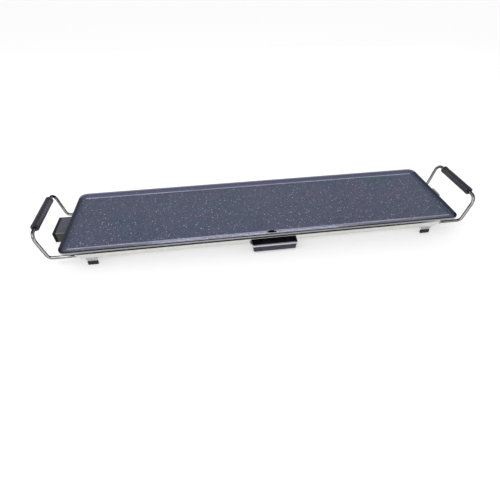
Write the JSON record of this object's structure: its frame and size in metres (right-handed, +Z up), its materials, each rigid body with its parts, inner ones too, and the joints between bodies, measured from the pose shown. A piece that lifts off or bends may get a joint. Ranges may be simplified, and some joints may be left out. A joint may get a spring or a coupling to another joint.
{
  "type": "electric plancha grill",
  "caption": "Long coated griddle plate on a low steel stand with bent rod handles, a sliding drip drawer and a thermostat socket under one end.",
  "frame": {"origin": "on the table under the middle of the grill, level with the undersides of the four foot caps", "axes": "+X along the plate towards the end without the socket, -Y towards the user and the way the drawer opens, +Z up"},
  "size_m": [1.0166, 0.23, 0.0991],
  "materials": {
    "grill_plate": "cast, speckled non-stick coating, bare lip",
    "heating_element": "oxidised steel tube",
    "element_straps": "zinc-plated strip",
    "strap_screws": "zinc-plated",
    "probe_sleeve": "drawn steel tube",
    "socket_hood": "dark satin sheet",
    "terminal_plate": "zinc-plated sheet",
    "hood_screws": "zinc-plated",
    "terminal_pins": "nickel-plated pins",
    "terminal_beads": "unglazed white ceramic",
    "earth_blades": "nickel-plated spring strip",
    "lifting_tab": "zinc-plated sheet",
    "tab_screws": "zinc-plated",
    "locating_studs": "turned steel",
    "front_rail": "bright stainless sheet",
    "rear_rail": "bright stainless sheet",
    "right_handle_rod": "chrome-plated rod",
    "left_handle_rod": "chrome-plated rod",
    "right_grip": "moulded phenolic",
    "left_grip": "moulded phenolic",
    "right_leg_brace": "zinc-plated sheet",
    "left_leg_brace": "zinc-plated sheet",
    "foot_cap_front_right": "moulded rubber",
    "foot_cap_front_left": "moulded rubber",
    "foot_cap_rear_right": "moulded rubber",
    "foot_cap_rear_left": "moulded rubber",
    "plate_posts": "steatite posts",
    "post_screws": "zinc-plated",
    "frame_screws": "zinc-plated",
    "frame_nuts": "zinc-plated",
    "heat_shield": "mill-finish sheet",
    "shield_rivets": "blind rivets",
    "drawer_runner_left": "zinc-plated sheet",
    "drawer_runner_right": "zinc-plated sheet",
    "runner_rivets": "blind rivets",
    "drip_drawer": "moulded plastic"
  },
  "bodies": {
    "stand": {"front_rail": "front_rail", "rear_rail": "rear_rail", "right_handle_rod": "right_handle_rod", "left_handle_rod": "left_handle_rod", "right_grip": "right_grip", "left_grip": "left_grip", "right_leg_brace": "right_leg_brace", "left_leg_brace": "left_leg_brace", "foot_cap_front_right": "foot_cap_front_right", "foot_cap_front_left": "foot_cap_front_left", "foot_cap_rear_right": "foot_cap_rear_right", "foot_cap_rear_left": "foot_cap_rear_left", "plate_posts": "plate_posts", "post_screws": "post_screws", "frame_screws": "frame_screws", "frame_nuts": "frame_nuts", "heat_shield": "heat_shield", "shield_rivets": "shield_rivets", "drawer_runner_left": "drawer_runner_left", "drawer_runner_right": "drawer_runner_right", "runner_rivets": "runner_rivets"},
    "drawer": {"drip_drawer": "drip_drawer"},
    "plate_unit": {"grill_plate": "grill_plate", "heating_element": "heating_element", "element_straps": "element_straps", "strap_screws": "strap_screws", "probe_sleeve": "probe_sleeve", "socket_hood": "socket_hood", "terminal_plate": "terminal_plate", "hood_screws": "hood_screws", "terminal_pins": "terminal_pins", "terminal_beads": "terminal_beads", "earth_blades": "earth_blades", "lifting_tab": "lifting_tab", "tab_screws": "tab_screws", "locating_studs": "locating_studs"}
  },
  "joints": [
    {"name": "drawer_slide", "type": "slide", "parent": "stand", "child": "drawer", "axis": [0, -1, 0], "range_m": [0, 0.06]},
    {"name": "plate_lift", "type": "slide", "parent": "stand", "child": "plate_unit", "axis": [0, 0, 1], "range_m": [0, 0.06]}
  ]
}
